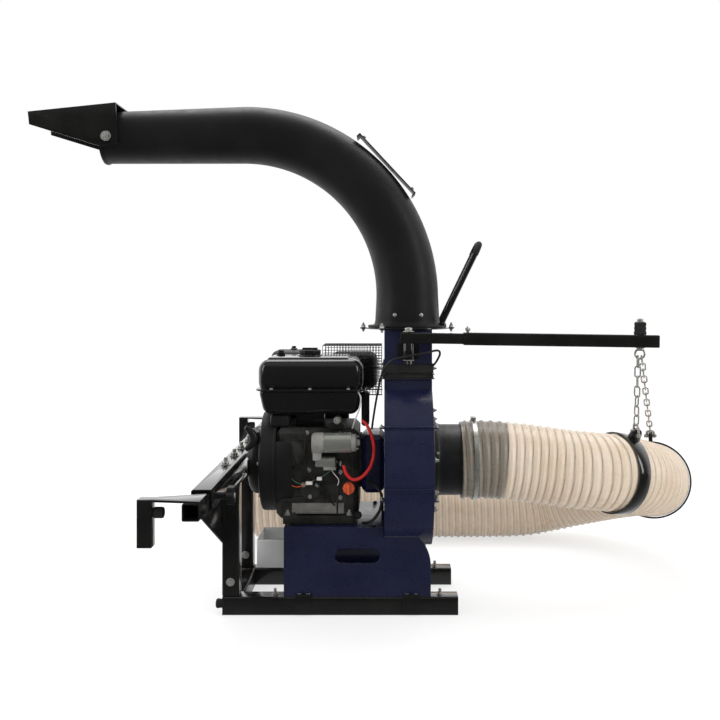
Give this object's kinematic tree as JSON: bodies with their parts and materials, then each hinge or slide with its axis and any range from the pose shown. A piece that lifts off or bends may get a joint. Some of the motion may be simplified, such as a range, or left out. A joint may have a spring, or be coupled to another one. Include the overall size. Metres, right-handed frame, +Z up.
{
  "type": "leaf vacuum",
  "caption": "Tailgate-mounted leaf vacuum with a petrol engine, a blower, a ribbed suction hose on a chain boom and a turning discharge chute.",
  "frame": {"origin": "on the floor, under the middle of the object's bounding box", "axes": "+X from the tailgate beam and the engine towards the hose's bend, +Y from the boom's side towards the hose's far run, +Z up"},
  "size_m": [1.9516, 1.428, 1.4065],
  "materials": {
    "black_powder_coat": "gloss black powder coat on steel",
    "navy_paint": "gloss navy paint on steel",
    "grey_sheet": "light grey sheet metal",
    "satin_black": "satin black engine paint",
    "black_rubber": "matt black rubber",
    "red_sheath": "red cable sheath",
    "black_plastic": "fine-grained black plastic",
    "orange_plastic": "orange plastic",
    "hose_vinyl": "cloudy cream vinyl with a ribbed wall",
    "cast_alloy": "cast aluminium alloy",
    "bare_steel": "bare or plated steel",
    "zinc_plate": "bright zinc plate"
  },
  "bodies": {
    "machine": {"front_rail": "black_powder_coat", "rear_rail": "black_powder_coat", "rail_cross_tube": "black_powder_coat", "front_bumper": "black_rubber", "rear_bumper": "black_rubber", "front_post": "black_powder_coat", "rear_post": "black_powder_coat", "tailgate_beam": "black_powder_coat", "base_frame": "navy_paint", "battery_tray": "grey_sheet", "blower_housing": "navy_paint", "outlet_duct": "navy_paint", "duct_seal_band": "black_rubber", "inlet_plate": "black_powder_coat", "inlet_collar": "black_powder_coat", "engine_adapter": "navy_paint", "crankcase": "cast_alloy", "cylinder": "cast_alloy", "valve_cover": "satin_black", "blower_shroud": "satin_black", "recoil_cover": "satin_black", "fuel_tank": "satin_black", "air_cleaner": "black_plastic", "carburettor": "cast_alloy", "muffler": "bare_steel", "muffler_guard": "bare_steel", "starter_motor": "bare_steel", "boom_bracket": "navy_paint", "suction_hose": "hose_vinyl", "hose_clamp": "zinc_plate", "starter_cable": "red_sheath", "ground_cable": "black_rubber", "kill_switch_wire": "black_rubber"},
    "impeller_shaft": {"impeller": "bare_steel", "crankshaft": "bare_steel"},
    "chute_assembly": {"chute": "black_plastic", "chute_hatch": "black_plastic", "turn_handle": "black_powder_coat"},
    "deflector": {"deflector_hood": "black_powder_coat"},
    "boom": {"boom_arm": "black_powder_coat", "boom_sleeve": "black_powder_coat", "boom_end_buffer": "black_rubber", "boom_eye_bolt": "zinc_plate", "chain_1": "zinc_plate", "chain_2": "zinc_plate", "hose_strap_1": "black_powder_coat", "hose_strap_2": "black_powder_coat"},
    "boom_lock": {"boom_lock_screw": "zinc_plate"},
    "front_hook_slide": {"front_hook": "black_powder_coat", "front_hook_pad": "black_rubber"},
    "rear_hook_slide": {"rear_hook": "black_powder_coat", "rear_hook_pad": "black_rubber"},
    "front_lock": {"front_lock_knob": "black_plastic"},
    "rear_lock": {"rear_lock_knob": "black_plastic"},
    "tank_cap": {"fuel_cap": "black_plastic"},
    "recoil_handle": {"recoil_grip": "black_plastic", "recoil_rope": "black_rubber"},
    "dipstick": {"oil_dipstick": "orange_plastic"},
    "throttle": {"throttle_lever": "black_plastic"},
    "choke": {"choke_lever": "black_plastic"}
  },
  "joints": [
    {"name": "impeller_spin", "type": "hinge", "parent": "machine", "child": "impeller_shaft", "pos_m": [0.01858, -0.094, 0.395], "axis": [1, 0, 0], "continuous": true},
    {"name": "chute_turn", "type": "hinge", "parent": "machine", "child": "chute_assembly", "pos_m": [0.08258, -0.094, 0.7755], "axis": [0, 0, 1], "continuous": true},
    {"name": "deflector_tilt", "type": "hinge", "parent": "chute_assembly", "child": "deflector", "pos_m": [-0.75542, -0.094, 1.308], "axis": [0, 1, 0], "range_deg": [-60, 0]},
    {"name": "boom_swing", "type": "hinge", "parent": "machine", "child": "boom", "pos_m": [0.08258, -0.231, 0.75], "axis": [0, 0, 1], "range_deg": [-80, 8], "deforming": ["suction_hose"]},
    {"name": "boom_lock_turn", "type": "hinge", "parent": "boom", "child": "boom_lock", "pos_m": [0.24356, -0.231, 0.74775], "axis": [0.014, 0, 0.9999], "continuous": true},
    {"name": "front_hook_reach", "type": "slide", "parent": "machine", "child": "front_hook_slide", "axis": [0, 1, 0], "range_m": [-0.06, 0.03]},
    {"name": "rear_hook_reach", "type": "slide", "parent": "machine", "child": "rear_hook_slide", "axis": [0, 1, 0], "range_m": [-0.03, 0.06]},
    {"name": "front_lock_turn", "type": "hinge", "parent": "machine", "child": "front_lock", "pos_m": [-0.35542, -0.539, 0.39], "axis": [1, 0, 0], "continuous": true},
    {"name": "rear_lock_turn", "type": "hinge", "parent": "machine", "child": "rear_lock", "pos_m": [-0.35542, 0.539, 0.39], "axis": [1, 0, 0], "continuous": true},
    {"name": "fuel_cap_turn", "type": "hinge", "parent": "machine", "child": "tank_cap", "pos_m": [-0.19542, -0.114, 0.694], "axis": [0, 0, 1], "range_deg": [0, 90]},
    {"name": "recoil_pull", "type": "slide", "parent": "machine", "child": "recoil_handle", "axis": [0, -1, 0], "range_m": [0, 0.6], "stiffness_N_per_m": 40, "deforming": ["recoil_rope"]},
    {"name": "dipstick_turn", "type": "hinge", "parent": "machine", "child": "dipstick", "pos_m": [-0.08042, -0.22, 0.34], "axis": [0, -1, 0], "continuous": true},
    {"name": "throttle_turn", "type": "hinge", "parent": "machine", "child": "throttle", "pos_m": [-0.30642, 0.122, 0.545], "axis": [0, 0, 1], "range_deg": [0, 50]},
    {"name": "choke_turn", "type": "hinge", "parent": "machine", "child": "choke", "pos_m": [-0.26142, 0.122, 0.535], "axis": [0, 0, 1], "range_deg": [-50, 0]}
  ]
}
